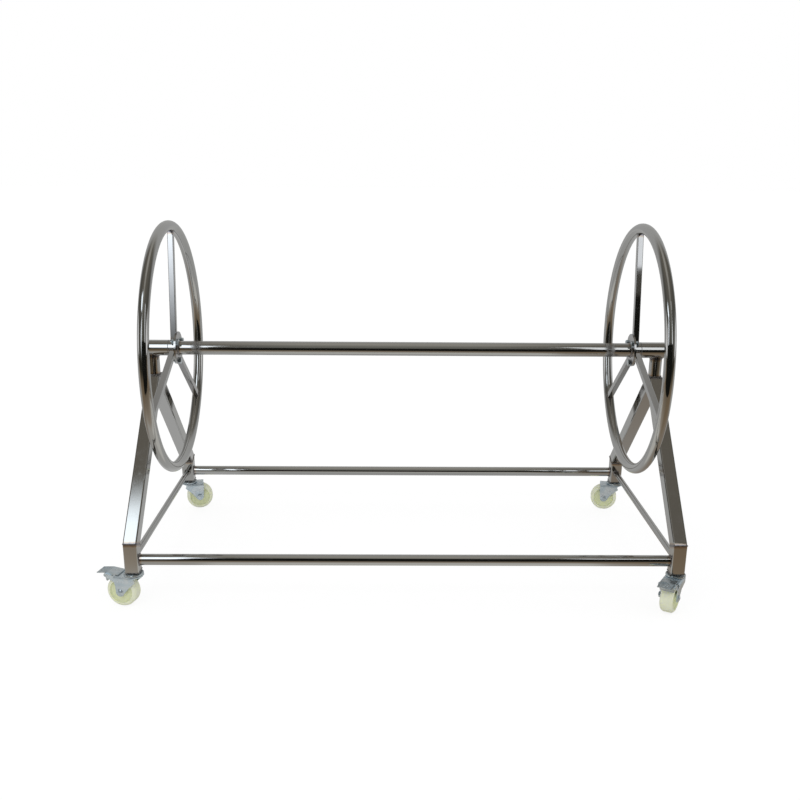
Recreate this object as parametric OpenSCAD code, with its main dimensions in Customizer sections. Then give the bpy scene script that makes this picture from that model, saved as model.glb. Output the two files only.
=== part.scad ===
// Rope reel trolley for pool lane markers: a spoked reel on a wheeled A-frame stand.
// Millimetres, +Z up, X along the axle, front at -Y. Z = 0 is the floor under the casters,
// and the origin is midway between the four swivel axes.

/* [Stand] */
// Length over the outer faces of the feet
frame_length = 1600; // [1300:10:2000]
// Depth over the front and rear faces of the feet
frame_depth = 820; // [700:10:1000]
// Height of each upright foot, at its outer face
foot_h = 90; // [75:1:140]
// Width of the square tube of the feet and legs
tube_w = 40; // [35:1:50]
// Wall of the square tube
tube_wall = 2; // [1.5:0.1:3]
// Outer corner radius of the square tube
tube_corner_r = 4; // [3:0.5:6]
// Height of the axle above the floor
axle_h = 678; // [630:1:760]
// Distance from the axle down to the flat top of the legs
apex_drop = 85; // [70:1:110]
// Half the depth of the flat on top of the legs
apex_half = 22; // [20:1:30]
// Thickness of the plate that closes the top of the legs
apex_plate_t = 3; // [2:0.5:5]
// Thickness of the threaded plate in the bottom of each foot
foot_plate_t = 8; // [5:1:12]

/* [Rails] */
// Diameter of the front and rear rails
rail_d = 32; // [25:1:36]
// Wall of the front and rear rails
rail_wall = 1.5; // [1:0.1:3]
// Height of the front and rear rails above the bottom of the feet
rail_up = 35; // [25:1:50]
// Diameter of the side rails
side_rail_d = 19; // [14:1:30]
// Wall of the side rails
side_rail_wall = 1.5; // [1:0.1:3]
// Height of the side rails above the bottom of the feet
side_rail_up = 35; // [25:1:55]

/* [Bearings] */
// Diameter of the post between the legs and the bearing sleeve
post_d = 38; // [34:0.1:40]
// Wall of the post
post_wall = 2; // [1.5:0.1:3]
// Outer diameter of the bearing sleeve and of the hub tube
sleeve_d = 48.3; // [47.5:0.1:54]
// Wall of the bearing sleeve
sleeve_wall = 2; // [1.5:0.1:2.4]
// Length of the bearing sleeve past the outer faces of the feet
sleeve_past = 7; // [5:1:25]
// Distance from the plane of the spokes to the bearing sleeve
bearing_gap = 16; // [15:1:30]
// Thickness of the bush flange between hub and sleeve
bush_flange_t = 1.5; // [1:0.1:3]
// Length of the cap that closes the sleeve's outer end
cap_len = 8; // [5:1:10]

/* [Reel] */
// Distance from the outer faces of the feet in to the planes of the spokes
wheel_inset = 87; // [80:1:130]
// Diameter of the axle tube and the stub shafts
axle_d = 42.4; // [38:0.1:43]
// Wall of the axle tube and the stub shafts
axle_wall = 2; // [1.5:0.1:3]
// Radius of the rim, to the middle of its tube
rim_r = 367; // [300:1:420]
// Diameter of the rim tube
rim_d = 32; // [28:1:40]
// Wall of the rim tube
rim_wall = 1.5; // [1:0.1:3]
// Width of the square spoke tube
spoke_w = 18; // [16:1:25]
// Wall of the spoke tube
spoke_wall = 1.5; // [1:0.1:2.5]
// Outer corner radius of the spoke tube
spoke_corner_r = 2; // [1.6:0.1:3]
// Angle of the first spoke from upright, towards the rear
spoke_lean = 8; // [-60:1:60]
// Radius of the round coupling flanges
flange_r = 50; // [50:1:60]
// Thickness of each coupling flange
flange_t = 3; // [3:0.5:8]
// Radius of the circle of flange bolts
bolt_circle_r = 39; // [36:1:40]
// Diameter of the flange bolts
flange_bolt_d = 10; // [8:1:10]

/* [Casters] */
// Diameter of the caster wheels
wheel_d = 92; // [80:1:100]
// Width of the caster wheels
wheel_w = 38; // [28:1:40]
// Distance from the swivel axis to the wheel's axle
trail = 35; // [30:1:42]
// Clearance over the top of the wheel
wheel_top_gap = 2.5; // [2:0.5:8]
// Clearance between the wheel and each fork cheek
cheek_gap = 2; // [1:0.5:4]
// Sheet thickness of the fork
fork_t = 2.5; // [2:0.1:4]
// Height of the swivel head under the foot
head_h = 11; // [11:1:20]
// Radius of the swivel head
head_r = 28.5; // [25:0.5:29]
// Diameter of the stem and kingpin
stem_d = 12; // [10:0.5:14]
// Diameter of the caster axle bolt
caster_bolt_d = 10; // [8:0.5:12]
// Diameter of the brake pedal's pin
pedal_pin_d = 6; // [5:0.5:8]
// Angle through which the brake pedal is pressed
brake_press = 25; // [15:1:26]

/* [Fits] */
// Radial running clearance of a shaft in its bore
running_fit = 0.05; // [0.02:0.01:0.1]
// Gap between faces of pieces that turn past each other
turning_gap = 0.5; // [0.3:0.1:0.8]
// Gap left between the brake shoe and the wheel when the pedal is pressed
shoe_gap = 0.45; // [0.3:0.05:1]

/* [Hidden] */
$fn = 64;
eps = 1;

// Sides and corners: -1 is left or front, 1 is right or rear
LEFT = -1;
RIGHT = 1;
FRONT = -1;
REAR = 1;

// Heading of each caster at rest, from +X, as the direction in which its wheel trails
heading_front_left = 166;
heading_front_right = 237;
heading_rear_left = 12;
heading_rear_right = 168;

// Heights of the caster, from the floor up
wheel_r = wheel_d / 2;
crown_under = wheel_d + wheel_top_gap;
crown_top = crown_under + fork_t;
head_under = crown_top + turning_gap;
caster_h = head_under + head_h;
stem_r = stem_d / 2;

// Stand
foot_top = caster_h + foot_h;
foot_x = (frame_length - tube_w) / 2;
foot_y = (frame_depth - tube_w) / 2;
apex_z = axle_h - apex_drop;
leg_angle = atan2(frame_depth / 2 - apex_half, apex_z - foot_top);
mitre_drop = tube_w * tan(leg_angle / 2);
leg_under_apex = foot_top - mitre_drop + (frame_depth / 2 - tube_w) / tan(leg_angle);
rail_z = caster_h + rail_up;
side_rail_z = caster_h + side_rail_up;
rail_len = frame_length - 2 * tube_w;
side_rail_len = frame_depth - 2 * tube_w;

// Places along the axle, from the middle of the reel outwards
wheel_x = frame_length / 2 - wheel_inset;
hub_face_x = wheel_x - spoke_w / 2;
joint_face_x = hub_face_x - flange_t;
axle_face_x = joint_face_x - flange_t;
sleeve_in_x = wheel_x + bearing_gap;
sleeve_out_x = frame_length / 2 + sleeve_past;
hub_end_x = sleeve_in_x - bush_flange_t - turning_gap;
stub_end_x = sleeve_out_x - cap_len - turning_gap;
axle_r = axle_d / 2;
sleeve_r = sleeve_d / 2;
sleeve_bore_r = sleeve_r - sleeve_wall;
rim_tube_r = rim_d / 2;
vent_inset = 0.5;
rim_vent_r = spoke_w / 2 - spoke_wall - vent_inset;
cap_rise = 4;
spoke_angles = [for (i = [0:2]) spoke_lean + 120 * i];
bolt_angles = [for (i = [0:2]) spoke_lean + 60 + 120 * i];

// Hexagon heads and nuts: width across flats and height as multiples of the thread
hex_across = 1.7;
hex_height = 0.64;
nut_height = 0.8;

// Fork: half widths of its folded sheet at the cheeks and at the crown, and its side outline
cheek_in = wheel_w / 2 + cheek_gap;
cheek_out = cheek_in + fork_t;
fork_bend_r = 4;
flare_low = crown_under - 31;
flare_high = crown_under - fork_bend_r;
fork_front = head_r - eps;
fork_back = trail + 15;
fork_back_z = crown_under - 19;
fork_boss_r = 13;
cheek_waist = 4;
caster_bolt_r = caster_bolt_d / 2;

// Brake: pedal pivot in the fork's frame, sheet sizes and the shoe that reaches for the tread
pivot_x = fork_back + 27;
pivot_z = crown_under + 1.5;
pedal_t = 2.2;
pedal_out = cheek_in - turning_gap;
pedal_ear_r = 6;
pedal_flange_r = pedal_ear_r - eps;
pedal_pin_r = pedal_pin_d / 2;
shoe_r = 3;
shoe_lag = 5;
pivot_to_axle = norm([pivot_x - trail, pivot_z - wheel_r]);
shoe_reach = pivot_to_axle - wheel_r - shoe_r - shoe_gap;
shoe_angle = atan2(wheel_r - pivot_z, trail - pivot_x) + brake_press + shoe_lag;

// Top line of the pedal from its pivot, from beside the swivel head to the tip
pedal_line = [for (p = [[-39, 4.5], [-20, 6.5], [-4, 8.3], [29, 4.5]]) [pivot_x, pivot_z] + p];

steel = "#b9b6b0";
dark_steel = "#8d8a84";
zinc = "#aeb9c6";
nylon = "#dfe3bf";
bush_white = "#e8e6df";

// Rounded square, drawn from squares and circles so that its corners are true arcs
module rounded_square(w, r) {
    square([w - 2 * r, w], center = true);
    square([w, w - 2 * r], center = true);
    for (sx = [-1, 1], sy = [-1, 1])
        translate([sx * (w / 2 - r), sy * (w / 2 - r)]) circle(r = r, $fn = 32);
}

// Wall of a square tube
module square_ring(w, wall, r) {
    difference() {
        rounded_square(w, r);
        rounded_square(w - 2 * wall, r - wall / 2);
    }
}

// Round tube along X between two places
module tube_x(x0, x1, r, wall) {
    translate([x0, 0, 0]) rotate([0, 90, 0]) difference() {
        cylinder(r = r, h = x1 - x0);
        translate([0, 0, -eps]) cylinder(r = r - wall, h = x1 - x0 + 2 * eps);
    }
}

// Solid bar along X between two places
module bar_x(x0, x1, r) {
    translate([x0, 0, 0]) rotate([0, 90, 0]) cylinder(r = r, h = x1 - x0);
}

// Shallow dome over a circle, cut from a sphere
module dome(r, rise) {
    dome_r = (r * r + rise * rise) / (2 * rise);
    intersection() {
        translate([0, 0, rise - dome_r]) sphere(r = dome_r, $fn = 96);
        cylinder(r = r, h = rise);
    }
}

// Child drawn for the right or rear, mirrored to the side that is asked for
module on_side(side) {
    if (side < 0) mirror([1, 0, 0]) children();
    else children();
}
module on_end(end) {
    if (end < 0) mirror([0, 1, 0]) children();
    else children();
}

// Outline in the Y-Z plane, extruded along X about the middle of a tube
module slab_x(points, w) {
    translate([-w / 2, 0, 0]) rotate([90, 0, 90]) linear_extrude(w) polygon(points);
}

// Upright foot of square tube, its top mitred to meet the leg
module foot(side, end) {
    color(steel) on_side(side) on_end(end) translate([foot_x, 0, 0]) intersection() {
        translate([0, foot_y, caster_h]) linear_extrude(foot_h)
            square_ring(tube_w, tube_wall, tube_corner_r);
        slab_x([[foot_y - tube_w / 2, caster_h], [foot_y + tube_w / 2, caster_h],
            [foot_y + tube_w / 2, foot_top], [foot_y - tube_w / 2, foot_top - mitre_drop]],
            tube_w + eps);
    }
}

// Threaded plate welded inside the bottom of a foot
module foot_plate(side, end) {
    color(dark_steel) on_side(side) on_end(end) translate([foot_x, foot_y, caster_h])
        linear_extrude(foot_plate_t) difference() {
            rounded_square(tube_w - 2 * tube_wall, tube_corner_r - tube_wall / 2);
            circle(r = stem_r + running_fit);
        }
}

// Leaning leg of square tube, mitred at the foot and at the apex, and cut flat on top
module leg(side, end) {
    reach = (apex_z - foot_top) / cos(leg_angle) + 4 * tube_w;
    color(steel) on_side(side) on_end(end) translate([foot_x, 0, 0]) intersection() {
        translate([0, frame_depth / 2, foot_top]) rotate([leg_angle, 0, 0])
            translate([0, -tube_w / 2, -2 * tube_w]) linear_extrude(reach)
                square_ring(tube_w, tube_wall, tube_corner_r);
        slab_x([[frame_depth / 2, foot_top], [apex_half, apex_z], [0, apex_z],
            [0, leg_under_apex], [frame_depth / 2 - tube_w, foot_top - mitre_drop]],
            tube_w + eps);
    }
}

// Long rail between the inner faces of two feet
module long_rail(end) {
    color(steel) translate([0, end * foot_y, rail_z])
        tube_x(-rail_len / 2, rail_len / 2, rail_d / 2, rail_wall);
}

// Side rail between the facing sides of the front and rear feet
module side_rail(side) {
    color(steel) translate([side * foot_x, 0, side_rail_z]) rotate([0, 0, 90])
        tube_x(-side_rail_len / 2, side_rail_len / 2, side_rail_d / 2, side_rail_wall);
}

// Post with the plate that closes the legs, coped to the underside of the sleeve
module post(side) {
    color(steel) on_side(side) difference() {
        union() {
            translate([foot_x - tube_w / 2, -apex_half, apex_z])
                cube([tube_w, 2 * apex_half, apex_plate_t]);
            translate([foot_x, 0, apex_z + apex_plate_t]) difference() {
                cylinder(r = post_d / 2, h = axle_h - apex_z - apex_plate_t);
                translate([0, 0, -eps]) cylinder(r = post_d / 2 - post_wall, h = apex_drop + eps);
            }
        }
        translate([0, 0, axle_h]) bar_x(sleeve_in_x - tube_w, sleeve_out_x + tube_w, sleeve_r);
    }
}

// Level sleeve in which a stub shaft turns
module bearing_sleeve(side) {
    color(steel) on_side(side) translate([0, 0, axle_h])
        tube_x(sleeve_in_x, sleeve_out_x, sleeve_r, sleeve_wall);
}

// Plain bush lining the sleeve, with a flange that takes the thrust of the hub
module bush(side) {
    color(bush_white) on_side(side) translate([0, 0, axle_h]) difference() {
        union() {
            bar_x(sleeve_in_x - bush_flange_t, sleeve_in_x, sleeve_r);
            bar_x(sleeve_in_x, stub_end_x, sleeve_bore_r);
        }
        bar_x(sleeve_in_x - bush_flange_t - eps, stub_end_x + eps, axle_r + running_fit);
    }
}

// Domed cap in the outer end of the sleeve
module sleeve_cap(side) {
    color(steel) on_side(side) translate([0, 0, axle_h]) {
        bar_x(sleeve_out_x - cap_len, sleeve_out_x, sleeve_bore_r);
        translate([sleeve_out_x, 0, 0]) rotate([0, 90, 0]) dome(sleeve_r, cap_rise);
    }
}

// Long axle tube of the reel
module axle_tube() {
    color(steel) translate([0, 0, axle_h])
        tube_x(-joint_face_x, joint_face_x, axle_r, axle_wall);
}

// Round flange with bolt holes, between two places along the axle
module coupling_flange(x0, x1) {
    difference() {
        bar_x(x0, x1, flange_r);
        bar_x(x0 - eps, x1 + eps, axle_r);
        for (a = bolt_angles) rotate([-a, 0, 0]) translate([0, 0, bolt_circle_r])
            bar_x(x0 - eps, x1 + eps, flange_bolt_d / 2);
    }
}

// Flange welded on the end of the axle tube
module axle_flange(side) {
    color(steel) on_side(side) translate([0, 0, axle_h])
        coupling_flange(axle_face_x, joint_face_x);
}

// Hub of a wheel: flange and short tube in one
module hub(side) {
    color(steel) on_side(side) translate([0, 0, axle_h]) {
        coupling_flange(joint_face_x, hub_face_x);
        tube_x(hub_face_x, hub_end_x, sleeve_r, sleeve_r - axle_r);
    }
}

// Stub shaft through the hub and into the bearing sleeve
module stub_shaft(side) {
    color(dark_steel) on_side(side) translate([0, 0, axle_h])
        tube_x(joint_face_x, stub_end_x, axle_r, axle_wall);
}

// Ring of round section about the axle, at the middle of a wheel
module ring_x(section_r) {
    translate([wheel_x, 0, 0]) rotate([0, 90, 0])
        rotate_extrude($fn = 160) translate([rim_r, 0]) circle(r = section_r, $fn = 48);
}

// Three square spokes, coped to the hub tube and to the inside of the rim
module spokes(side) {
    color(steel) on_side(side) translate([0, 0, axle_h]) difference() {
        for (a = spoke_angles) translate([wheel_x, 0, 0]) rotate([-a, 0, 0])
            linear_extrude(rim_r) square_ring(spoke_w, spoke_wall, spoke_corner_r);
        bar_x(hub_face_x - eps, hub_end_x + eps, sleeve_r);
        ring_x(rim_tube_r);
    }
}

// Rim of round tube, vented into each spoke
module rim(side) {
    color(steel) on_side(side) translate([0, 0, axle_h]) difference() {
        ring_x(rim_tube_r);
        ring_x(rim_tube_r - rim_wall);
        for (a = spoke_angles) translate([wheel_x, 0, 0]) rotate([-a, 0, 0])
            cylinder(r = rim_vent_r, h = rim_r);
    }
}

// Hexagon bolt and nut along X, through material between two places
module hex_bolt_x(x0, x1, d) {
    across_r = hex_across * d / 2 / cos(30);
    bar_x(x0 - hex_height * d / 2, x1 + nut_height * d + 2 * eps, d / 2);
    translate([x0 - hex_height * d, 0, 0]) rotate([0, 90, 0])
        cylinder(r = across_r, h = hex_height * d, $fn = 6);
    translate([x1, 0, 0]) rotate([0, 90, 0])
        cylinder(r = across_r, h = nut_height * d, $fn = 6);
}

// Bolts and nuts that join the two flanges of a wheel
module flange_bolts(side) {
    color(dark_steel) on_side(side) translate([0, 0, axle_h])
        for (a = bolt_angles) rotate([-a, 0, 0]) translate([0, 0, bolt_circle_r])
            hex_bolt_x(axle_face_x, hub_face_x, flange_bolt_d);
}

// Children drawn with +X as the trailing direction, set under a foot at a heading
module at_caster(side, end, heading) {
    translate([side * foot_x, end * foot_y, 0]) rotate([0, 0, heading]) children();
}

// Swivel head: stem into the foot, pressed race, and the kingpin that carries the fork
module swivel_head(side, end) {
    edge_r = 3;
    neck_r = 17;
    neck_h = 1;
    race_h = head_h - edge_r - neck_h;
    rivet_r = 9;
    rivet_t = 3;
    race_top = head_under + race_h;
    rivet_top = crown_under - turning_gap;
    color(zinc) at_caster(side, end, 0) rotate_extrude() polygon(concat(
        [[0, caster_h + foot_plate_t], [stem_r, caster_h + foot_plate_t], [stem_r, caster_h],
            [neck_r, caster_h], [neck_r, race_top + edge_r]],
        [for (a = [180:15:270]) [neck_r + edge_r + edge_r * cos(a), race_top + edge_r + edge_r * sin(a)]],
        [for (a = [90:-15:-90]) [head_r - edge_r + edge_r * cos(a), head_under + edge_r
            + (a > 0 ? race_h - 2 * edge_r : 0) + edge_r * sin(a)]],
        [[stem_r, head_under], [stem_r, rivet_top], [rivet_r, rivet_top],
            [rivet_r - eps, rivet_top - rivet_t], [0, rivet_top - rivet_t]]));
}

// Point where a line from a meets the circle of radius r about c, on the given side
function tangent_point(a, c, r, side) =
    let (d = c - a, turn = atan2(d[1], d[0]) + side * asin(r / norm(d)) + side * 90)
    c + r * [cos(turn), sin(turn)];

// Half of the fork's fold, seen along the trail, grown outwards by a thickness
function fork_fold(grow) =
    let (r = fork_bend_r + grow, half = head_r - fork_t + grow, top = crown_under + grow)
    concat([[cheek_in + grow, 0], [cheek_in + grow, flare_low], [half, flare_high]],
        [for (a = [15:15:90]) [half - r + r * cos(a), top - r + r * sin(a)]]);

module fold_outline(grow) {
    half = fork_fold(grow);
    polygon(concat(half, [for (i = [len(half) - 1:-1:0]) [-half[i][0], half[i][1]]]));
}

// Points of a curve from a to c that is drawn in to the left of the way by a depth
function drawn_in(a, c, depth) =
    let (way = (c - a) / norm(c - a), b = (a + c) / 2 + 2 * depth * [-way[1], way[0]])
    [for (t = [0:0.125:1]) (1 - t) * (1 - t) * a + 2 * t * (1 - t) * b + t * t * c];

// Side outline of the fork's cheeks, down to the round boss at the wheel's axle
module cheek_outline() {
    axle = [trail, wheel_r];
    front_corner = [-fork_front, crown_under - fork_bend_r];
    back_corner = [fork_back, fork_back_z];
    translate(axle) circle(r = fork_boss_r);
    polygon(concat([[-fork_front, crown_top]],
        drawn_in(front_corner, tangent_point(front_corner, axle, fork_boss_r, -1), cheek_waist),
        [axle, tangent_point(back_corner, axle, fork_boss_r, 1), back_corner, [fork_back, crown_top]]));
}

// Side outline of the ears that carry the pedal's pin
module ear_outline() {
    pivot = [pivot_x, pivot_z];
    root_low = [fork_back - 10, crown_under - 24];
    root_high = [fork_back - 16, crown_under - 6];
    translate(pivot) circle(r = pedal_ear_r);
    polygon([root_low, tangent_point(root_low, pivot, pedal_ear_r, -1), pivot,
        tangent_point(root_high, pivot, pedal_ear_r, 1), root_high]);
}

// Flat plates on both sides of the wheel, from an outline in the trail-up plane
module side_plates(inner, outer) {
    for (s = [-1, 1]) translate([0, s * (inner + outer) / 2 + (outer - inner) / 2, 0])
        rotate([90, 0, 0]) linear_extrude(outer - inner) children();
}

// Folded sheet fork, with ears for a brake where it has one
module fork(side, end, heading, braked) {
    color(zinc) at_caster(side, end, heading) difference() {
        union() {
            intersection() {
                translate([-fork_front - eps, 0, 0]) rotate([90, 0, 90])
                    linear_extrude(fork_front + fork_back + 2 * eps) difference() {
                        fold_outline(fork_t);
                        fold_outline(0);
                    }
                translate([0, head_r + eps, 0]) rotate([90, 0, 0])
                    linear_extrude(2 * head_r + 2 * eps) cheek_outline();
                linear_extrude(crown_top + eps) {
                    circle(r = head_r);
                    translate([0, -head_r]) square([fork_back, 2 * head_r]);
                }
            }
            if (braked) side_plates(cheek_in, cheek_out) ear_outline();
        }
        translate([0, 0, crown_under - eps]) cylinder(r = stem_r + running_fit, h = fork_t + 2 * eps);
        across_trail(trail, wheel_r, caster_bolt_r, head_r + eps);
        if (braked) across_trail(pivot_x, pivot_z, pedal_pin_r, head_r + eps);
    }
}

// Bar across the trail, centred over a point in the trail-up plane
module across_trail(x, z, r, half) {
    translate([x, half, z]) rotate([90, 0, 0]) cylinder(r = r, h = 2 * half);
}

// Bolt on which a caster wheel turns, with a domed head and a nut
module caster_bolt(side, end, heading) {
    head_rise = 5.5;
    head_across_r = 10.5;
    nut_h = nut_height * caster_bolt_d;
    color(zinc) at_caster(side, end, heading) translate([trail, 0, wheel_r]) rotate([-90, 0, 0]) {
        translate([0, 0, -cheek_out - nut_h - 2 * eps])
            cylinder(r = caster_bolt_r, h = 2 * cheek_out + nut_h + 3 * eps);
        translate([0, 0, -cheek_out - nut_h])
            cylinder(r = hex_across * caster_bolt_r / cos(30), h = nut_h, $fn = 6);
        translate([0, 0, cheek_out]) dome(head_across_r, head_rise);
    }
}

// Moulded wheel: rounded tread, recessed faces and a long hub
module caster_wheel(side, end, heading) {
    tread_r = 10;
    face_w = 1;
    rim_in_r = wheel_r - tread_r - face_w;
    recess = 4;
    hub_r = 13;
    draft = 3;
    half = wheel_w / 2;
    hub_half = cheek_in - turning_gap;
    web_half = half - recess;
    right = concat([[hub_r, hub_half], [hub_r + draft / 2, web_half], [rim_in_r - draft, web_half],
        [rim_in_r, half]], [for (a = [90:-15:0])
            [wheel_r - tread_r + tread_r * cos(a), half - tread_r + tread_r * sin(a)]]);
    bore_r = caster_bolt_r + running_fit;
    color(nylon) at_caster(side, end, heading) translate([trail, 0, wheel_r]) rotate([-90, 0, 0])
        rotate_extrude($fn = 96) polygon(concat([[bore_r, -hub_half], [bore_r, hub_half]], right,
            [for (i = [len(right) - 1:-1:0]) [right[i][0], -right[i][1]]]));
}

// Sheet under the pedal's top line
module pedal_sheet() {
    translate([0, pedal_out, 0]) rotate([90, 0, 0]) linear_extrude(2 * pedal_out)
        polygon(concat(pedal_line, [for (i = [len(pedal_line) - 1:-1:0]) pedal_line[i] - [0, pedal_t]]));
}

// Side outline of the pedal's two flanges, which stop short of the fork's crown
module pedal_flange() {
    pivot = [pivot_x, pivot_z];
    under = [for (p = pedal_line) p - [0, pedal_t]];
    start_x = fork_back + turning_gap;
    slope = (under[1][1] - under[0][1]) / (under[1][0] - under[0][0]);
    end_share = 0.35;
    end = under[2] + end_share * (under[3] - under[2]);
    translate(pivot) circle(r = pedal_flange_r);
    polygon([[start_x, under[1][1] - slope * (under[1][0] - start_x)], under[1], under[2], end,
        tangent_point(end, pivot, pedal_flange_r, -1), pivot, [pivot_x - pedal_flange_r, pivot_z]]);
}

// Brake pedal: bent sheet with a ribbed tread, two flanges on the pin and a wheel shoe
module brake_pedal(side, heading) {
    ribs = 7;
    rib_r = 1;
    rib_inset = 2;
    rib_step = (pedal_line[3] - pedal_line[2]) / ribs;
    rib_half = pedal_out - rib_inset;
    color(zinc) at_caster(side, FRONT, heading) difference() {
        union() {
            pedal_sheet();
            side_plates(pedal_out - pedal_t, pedal_out) pedal_flange();
            for (i = [0:ribs - 1]) {
                at = pedal_line[2] + (i + 0.5) * rib_step;
                translate([at[0], rib_half, at[1]]) rotate([90, 0, 0])
                    cylinder(r = rib_r, h = 2 * rib_half, $fn = 24);
            }
            translate([pivot_x, pedal_out, pivot_z]) rotate([90, 0, 0])
                linear_extrude(2 * pedal_out) rotate(shoe_angle) {
                    translate([shoe_reach, 0]) circle(r = shoe_r, $fn = 32);
                    translate([0, -shoe_r]) square([shoe_reach, 2 * shoe_r]);
                }
        }
        across_trail(pivot_x, pivot_z, pedal_pin_r + running_fit, head_r);
    }
}

// Hollow rivet on which the pedal turns
module pedal_pin(side, heading) {
    lip_t = 1.5;
    lip_r = pedal_pin_r + 2.2;
    color(zinc) at_caster(side, FRONT, heading) difference() {
        union() {
            across_trail(pivot_x, pivot_z, pedal_pin_r, cheek_out + lip_t);
            for (s = [-1, 1]) translate([0, s * (cheek_out + lip_t / 2), 0])
                across_trail(pivot_x, pivot_z, lip_r, lip_t / 2);
        }
        across_trail(pivot_x, pivot_z, pedal_pin_r / 2, cheek_out + lip_t + eps);
    }
}

module foot_front_left() { foot(LEFT, FRONT); }
module foot_front_right() { foot(RIGHT, FRONT); }
module foot_rear_left() { foot(LEFT, REAR); }
module foot_rear_right() { foot(RIGHT, REAR); }
module foot_plate_front_left() { foot_plate(LEFT, FRONT); }
module foot_plate_front_right() { foot_plate(RIGHT, FRONT); }
module foot_plate_rear_left() { foot_plate(LEFT, REAR); }
module foot_plate_rear_right() { foot_plate(RIGHT, REAR); }
module leg_front_left() { leg(LEFT, FRONT); }
module leg_front_right() { leg(RIGHT, FRONT); }
module leg_rear_left() { leg(LEFT, REAR); }
module leg_rear_right() { leg(RIGHT, REAR); }
module front_rail() { long_rail(FRONT); }
module rear_rail() { long_rail(REAR); }
module side_rail_left() { side_rail(LEFT); }
module side_rail_right() { side_rail(RIGHT); }
module post_left() { post(LEFT); }
module post_right() { post(RIGHT); }
module bearing_sleeve_left() { bearing_sleeve(LEFT); }
module bearing_sleeve_right() { bearing_sleeve(RIGHT); }
module bush_left() { bush(LEFT); }
module bush_right() { bush(RIGHT); }
module sleeve_cap_left() { sleeve_cap(LEFT); }
module sleeve_cap_right() { sleeve_cap(RIGHT); }
module swivel_head_front_left() { swivel_head(LEFT, FRONT); }
module swivel_head_front_right() { swivel_head(RIGHT, FRONT); }
module swivel_head_rear_left() { swivel_head(LEFT, REAR); }
module swivel_head_rear_right() { swivel_head(RIGHT, REAR); }
module axle_flange_left() { axle_flange(LEFT); }
module axle_flange_right() { axle_flange(RIGHT); }
module hub_left() { hub(LEFT); }
module hub_right() { hub(RIGHT); }
module stub_shaft_left() { stub_shaft(LEFT); }
module stub_shaft_right() { stub_shaft(RIGHT); }
module spokes_left() { spokes(LEFT); }
module spokes_right() { spokes(RIGHT); }
module rim_left() { rim(LEFT); }
module rim_right() { rim(RIGHT); }
module flange_bolts_left() { flange_bolts(LEFT); }
module flange_bolts_right() { flange_bolts(RIGHT); }
module fork_front_left() { fork(LEFT, FRONT, heading_front_left, true); }
module fork_front_right() { fork(RIGHT, FRONT, heading_front_right, true); }
module fork_rear_left() { fork(LEFT, REAR, heading_rear_left, false); }
module fork_rear_right() { fork(RIGHT, REAR, heading_rear_right, false); }
module caster_bolt_front_left() { caster_bolt(LEFT, FRONT, heading_front_left); }
module caster_bolt_front_right() { caster_bolt(RIGHT, FRONT, heading_front_right); }
module caster_bolt_rear_left() { caster_bolt(LEFT, REAR, heading_rear_left); }
module caster_bolt_rear_right() { caster_bolt(RIGHT, REAR, heading_rear_right); }
module caster_wheel_front_left() { caster_wheel(LEFT, FRONT, heading_front_left); }
module caster_wheel_front_right() { caster_wheel(RIGHT, FRONT, heading_front_right); }
module caster_wheel_rear_left() { caster_wheel(LEFT, REAR, heading_rear_left); }
module caster_wheel_rear_right() { caster_wheel(RIGHT, REAR, heading_rear_right); }
module brake_pedal_left() { brake_pedal(LEFT, heading_front_left); }
module brake_pedal_right() { brake_pedal(RIGHT, heading_front_right); }
module pedal_pin_left() { pedal_pin(LEFT, heading_front_left); }
module pedal_pin_right() { pedal_pin(RIGHT, heading_front_right); }

foot_front_left();
foot_front_right();
foot_rear_left();
foot_rear_right();
foot_plate_front_left();
foot_plate_front_right();
foot_plate_rear_left();
foot_plate_rear_right();
leg_front_left();
leg_front_right();
leg_rear_left();
leg_rear_right();
front_rail();
rear_rail();
side_rail_left();
side_rail_right();
post_left();
post_right();
bearing_sleeve_left();
bearing_sleeve_right();
bush_left();
bush_right();
sleeve_cap_left();
sleeve_cap_right();
swivel_head_front_left();
swivel_head_front_right();
swivel_head_rear_left();
swivel_head_rear_right();
axle_tube();
axle_flange_left();
axle_flange_right();
hub_left();
hub_right();
stub_shaft_left();
stub_shaft_right();
spokes_left();
spokes_right();
rim_left();
rim_right();
flange_bolts_left();
flange_bolts_right();
fork_front_left();
fork_front_right();
fork_rear_left();
fork_rear_right();
caster_bolt_front_left();
caster_bolt_front_right();
caster_bolt_rear_left();
caster_bolt_rear_right();
caster_wheel_front_left();
caster_wheel_front_right();
caster_wheel_rear_left();
caster_wheel_rear_right();
brake_pedal_left();
brake_pedal_right();
pedal_pin_left();
pedal_pin_right();
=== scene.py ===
"""Studio view of a rope reel trolley for pool lane markers.

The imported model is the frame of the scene. Every tube, flange, caster part and wheel gets its own finish, and
the weld beads that hold the trolley together are added as swept surfaces. Lengths are metres, +Z is up, X runs
along the reel's axle and the front is at -Y.
"""

import math

import bpy
import numpy as np
from mathutils import Matrix, Vector


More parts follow.
